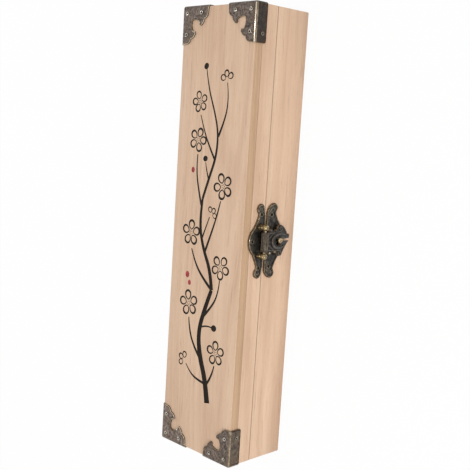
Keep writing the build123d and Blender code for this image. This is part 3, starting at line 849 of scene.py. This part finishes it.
# Each length of it: where it starts and ends, out from the case's front, and its radii there
post_lengths = [(-4.0, 1.2, 0.8, 0.8), (1.2, 1.8, 1.8, 1.7), (1.8, 5.2, 0.6, 0.6)]
knob_out, knob_halves, knob_dimple = 5.65, (1.95, 1.95, 1.25), 0.25
post = []
for start, end, radius_start, radius_end in post_lengths:
    bpy.ops.mesh.primitive_cone_add(
        vertices=28, radius1=radius_start * MM, radius2=radius_end * MM, depth=(end - start) * MM,
        location=(post_x * MM, (front - (start + end) / 2) * MM, post_z * MM), rotation=(pi / 2, 0, 0),
    )
    length = bpy.context.object
    settle(length)
    bpy.ops.object.shade_smooth_by_angle(angle=radians(35))
    give(length, post_dark)
    post.append(length)
head = knob((post_x, front - knob_out, post_z), knob_halves, (0, -1, 0), knob_dimple, post_brass, post_flank_shade)
# The knob's half towards the case is painted brown, as painted shade
paint(head, 1, lambda centre, normal: centre.y > (front - 5.5) * MM)
post.append(head)
install(joined("catch_post_turned", post), "base", "hasp_bronze", "catch_post")
give(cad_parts["hasp_pin"], lug_brass)


# Hasp arm
# A zinc casting too: a barrel on the axle and a leaf with an arched ridge around its eye,
# scrolls at its sides, and an end that is a round curl on one side of the slit and a point on
# the other. The ridges are rubbed lighter.
leaf_lean = radians(6)
axle_y, axle_z = -39.8, 33.6
leaf_face = 0.7
barrel_reach, barrel_radius, barrel_half = 2.4, 2.2, 6.4
# The raised lines along the barrel, painted light as highlights, broadest at its two sides as seen from the
# front: how far around it, up from the front, and half the width
barrel_lines = [(-28, 0.26), (2, 0.13), (26, 0.13), (48, 0.13), (70, 0.13), (94, 0.13), (120, 0.26)]
arm_skin = bronze("arm_skin", (20, 19, 18), (64, 60, 56), (40, 38, 37), 0.34, grain=620, pits=0.4)
cast_ridge = bronze("cast_ridge", (42, 38, 35), (108, 100, 90), (71, 65, 56), 0.3, grain=700, pits=0.4)
barrel_skin = bronze("barrel_skin", (31, 27, 23), (84, 74, 63), (55, 47, 38), 0.36, grain=600, pits=0.4)
barrel_highlight_line = bronze("barrel_highlight_line", (74, 65, 54), (140, 126, 106), (106, 93, 76), 0.28)
spur_glint = bronze("spur_glint", (104, 92, 74), (200, 186, 160), (156, 138, 108), 0.26)


def on_leaf(x, y, out):
    """A spot on the leaf: across it, up it from the axle, and out of its middle plane."""
    back = axle_y - out * cos(leaf_lean) - y * sin(leaf_lean)
    return (x, back, axle_z + y * cos(leaf_lean) - out * sin(leaf_lean))


def leaf_ridge(points, out=leaf_face):
    return stroke([(*on_leaf(x, y, out), half) for x, y, half in points], 2)


arm = recut("hasp_arm", "hasp_arm_casting")
give(arm, arm_skin, cast_border, cast_wall, barrel_skin)
axle = Vector((axle_y, axle_z)) * MM
paint(arm, 2, lambda centre, normal: abs(normal.y) < 0.35 and centre.z < 32 * MM)
paint(arm, 3, lambda centre, normal: (centre.yz - axle).length < barrel_reach * MM)
ease(arm, 0.16, 2, rim=1, angle=40)
ridges = [
    # the arch around the eye, and the two bars from the barrel
    leaf_ridge([
        (-3.3, -21.2, 0.35), (-4.7, -17.6, 0.6), (-4.9, -13.6, 0.8), (-3.9, -9.5, 0.9), (-1.6, -6.9, 0.95),
        (1.6, -6.9, 0.95), (3.9, -9.5, 0.9), (4.9, -13.6, 0.8), (4.9, -17.6, 0.6), (3.9, -21.4, 0.35),
    ], leaf_face + 0.3),
    leaf_ridge([(-1.8, -2.0, 0.7), (-2.6, -4.2, 0.65), (-4.6, -6.6, 0.5), (-5.8, -9.4, 0.3)]),
    leaf_ridge([(1.8, -2.0, 0.7), (2.6, -4.2, 0.65), (4.6, -6.6, 0.5), (5.8, -9.4, 0.3)]),
    # the small curl under the barrel
    leaf_ridge([(0.0, -2.0, 0.5), (-0.7, -3.6, 0.5), (0.2, -4.6, 0.5), (1.0, -3.9, 0.4), (0.3, -3.4, 0.3)]),
]
for side in (-1, 1):
    # along the shoulder, then into the scroll
    ridges.append(leaf_ridge([
        (side * 5.2, -1.8, 0.6), (side * 5.9, -4.6, 0.5), (side * 5.8, -7.6, 0.45),
        (side * 6.3, -10.4, 0.45), (side * 6.2, -13.4, 0.45), (side * 6.7, -16.8, 0.5),
        (side * 8.4, -18.0, 0.55), (side * 9.8, -16.6, 0.6), (side * 9.2, -14.7, 0.6),
        (side * 7.8, -15.2, 0.45), (side * 8.3, -16.4, 0.35),
    ]))
# the outer edge of each scroll, and the curl beside the slit
ridges.append(leaf_ridge([(9.9, -17.2, 0.2), (8.6, -19.8, 0.35), (6.6, -21.8, 0.35), (4.6, -23.0, 0.25)]))
ridges.append(leaf_ridge([(-9.0, -18.6, 0.2), (-7.0, -19.6, 0.35), (-4.6, -21.4, 0.35), (-2.3, -23.5, 0.2)]))
ridges.append(leaf_ridge([(2.9, -22.8, 0.2), (3.6, -24.2, 0.3), (3.2, -25.6, 0.35), (2.3, -25.2, 0.25)]))
parts = [arm] + with_finish(ridges, cast_ridge)
# The spur tips: on the -X side painted bright as painted highlights, on the +X side like the ridges
for side, finish in ((-1, spur_glint), (1, cast_ridge)):
    parts += with_finish([
        drop(on_leaf(side * 7.7, -5.3, leaf_face), (0.8, 0.5, 0.8), segments=14),
        drop(on_leaf(side * 7.25, -11.1, leaf_face), (0.65, 0.45, 0.7), segments=14),
    ], finish)
for angle, half in barrel_lines:
    y = axle_y - barrel_radius * cos(radians(angle))
    z = axle_z + barrel_radius * sin(radians(angle))
    line = [(x, y, z, half) for x in (-barrel_half, 0, barrel_half)]
    parts += with_finish([stroke(line)], barrel_highlight_line)
for side in (-1, 1):
    parts.append(ring((side * barrel_half, axle_y, axle_z), 2.05, 0.26, barrel_skin, (1, 0, 0)))
install(joined("hasp_arm_casting", parts), "hasp", "hasp_bronze", "hasp_arm")


# Hinges
# Two small butt hinges of plated steel sheet on the back, their knuckles rolled around a pin.
# Each leaf lies flat on the wood and is held by two nails.
hinge_skin = bronze("hinge_skin", (60, 52, 46), (118, 105, 92), (88, 72, 58), 0.4)
for side in ("left", "right"):
    for half in ("lid", "base"):
        node = f"hinge_{side}_{half}_leaf"
        leaf = recut(node, node + "_sheet")
        give(leaf, hinge_skin)
        bpy.ops.object.shade_smooth_by_angle(angle=radians(40))
        install(leaf, half, "hasp_bronze", node)
    give(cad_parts[f"hinge_{side}_pin"], lug_root)


# Studio
# A white floor, white all round, a wide soft lamp from the front, two small ones that put
# points of light on the metal, and a narrow one that lights the folds.
floor_size = 12
paper_white = 0.95
sky_light = 0.56
# Each lamp: its place, its length and width, and its watts
lamps = {
    "front_softbox": ((-0.5, -1.1, 0.5), (0.6, 0.6), 5.4),
    "small_over": ((0.05, 0.12, 0.9), (0.1, 0.1), 1.0),
    "small_back": ((0.1, 0.95, 0.35), (0.1, 0.1), 1.2),
    "fold_strip": ((0.35, -0.80, 0.85), (0.7, 0.05), 2.0),
}


def seen_rays(tree):
    """1 for rays from the camera or from a shiny surface, and 0 for all others."""
    ray = tree.nodes.new("ShaderNodeLightPath")
    seen = tree.nodes.new("ShaderNodeMath")
    seen.operation = "MAXIMUM"
    tree.links.new(ray.outputs["Is Camera Ray"], seen.inputs[0])
    tree.links.new(ray.outputs["Is Glossy Ray"], seen.inputs[1])
    return seen.outputs[0]


bpy.ops.mesh.primitive_plane_add(size=floor_size, location=(0, 0, 0))
floor = bpy.context.object
floor.name = "studio_floor"
paper = Recipe("white_paper")
paper.shader.inputs["Base Color"].default_value = (paper_white, paper_white, paper_white, 1)
paper.shader.inputs["Roughness"].default_value = 0.9
glow = paper.add("ShaderNodeEmission", {"Strength": 1})
# Where it is seen, the floor glows white, and 5 % of its shadows are left
glow_share = paper.sum((seen_rays(paper.material.node_tree), 0.95))
both = paper.add("ShaderNodeMixShader", {0: glow_share, 1: paper.shader.outputs[0], 2: glow.outputs[0]})
paper.links.new(both.outputs[0], paper.nodes["Material Output"].inputs["Surface"])
give(floor, paper.material)

world = bpy.data.worlds.new("studio")
bpy.context.scene.world = world
world.use_nodes = True
sky = world.node_tree.nodes["Background"]
sky.inputs["Color"].default_value = (1, 1, 1, 1)
level = world.node_tree.nodes.new("ShaderNodeMath")
level.operation = "MAXIMUM"
level.inputs[1].default_value = sky_light
world.node_tree.links.new(seen_rays(world.node_tree), level.inputs[0])
world.node_tree.links.new(level.outputs[0], sky.inputs["Strength"])

# The lamps face the case, their length along X
for name, (place, (length, width), watts) in lamps.items():
    bpy.ops.object.light_add(type="AREA", location=place)
    light = bpy.context.object
    light.name = name
    light.data.shape = "RECTANGLE"
    light.data.size = length
    light.data.size_y = width
    light.data.energy = watts
    away = Vector(place).normalized()
    along = (Vector((1, 0, 0)) - away * away.x).normalized()
    facing = Matrix((along, away.cross(along), away)).transposed()
    light.matrix_world = Matrix.Translation(place) @ facing.to_4x4()

# The camera stands where the photo was taken from
sensor, focal_length = 36, 63.4
camera_place = (0.07368, -0.41408, 0.43560)
bpy.ops.object.camera_add()
camera = bpy.context.object
camera.data.sensor_width = sensor
camera.data.lens = focal_length
right = Vector((0.06122, -0.69951, -0.71200))
up = Vector((0.99007, 0.13301, -0.04555))
back = Vector((0.12656, -0.70214, 0.70071))
turn = Matrix((right, up, back)).transposed()
camera.matrix_world = Matrix.Translation(camera_place) @ turn.to_4x4()
bpy.context.scene.camera = camera
bpy.context.scene.view_settings.view_transform = "Standard"
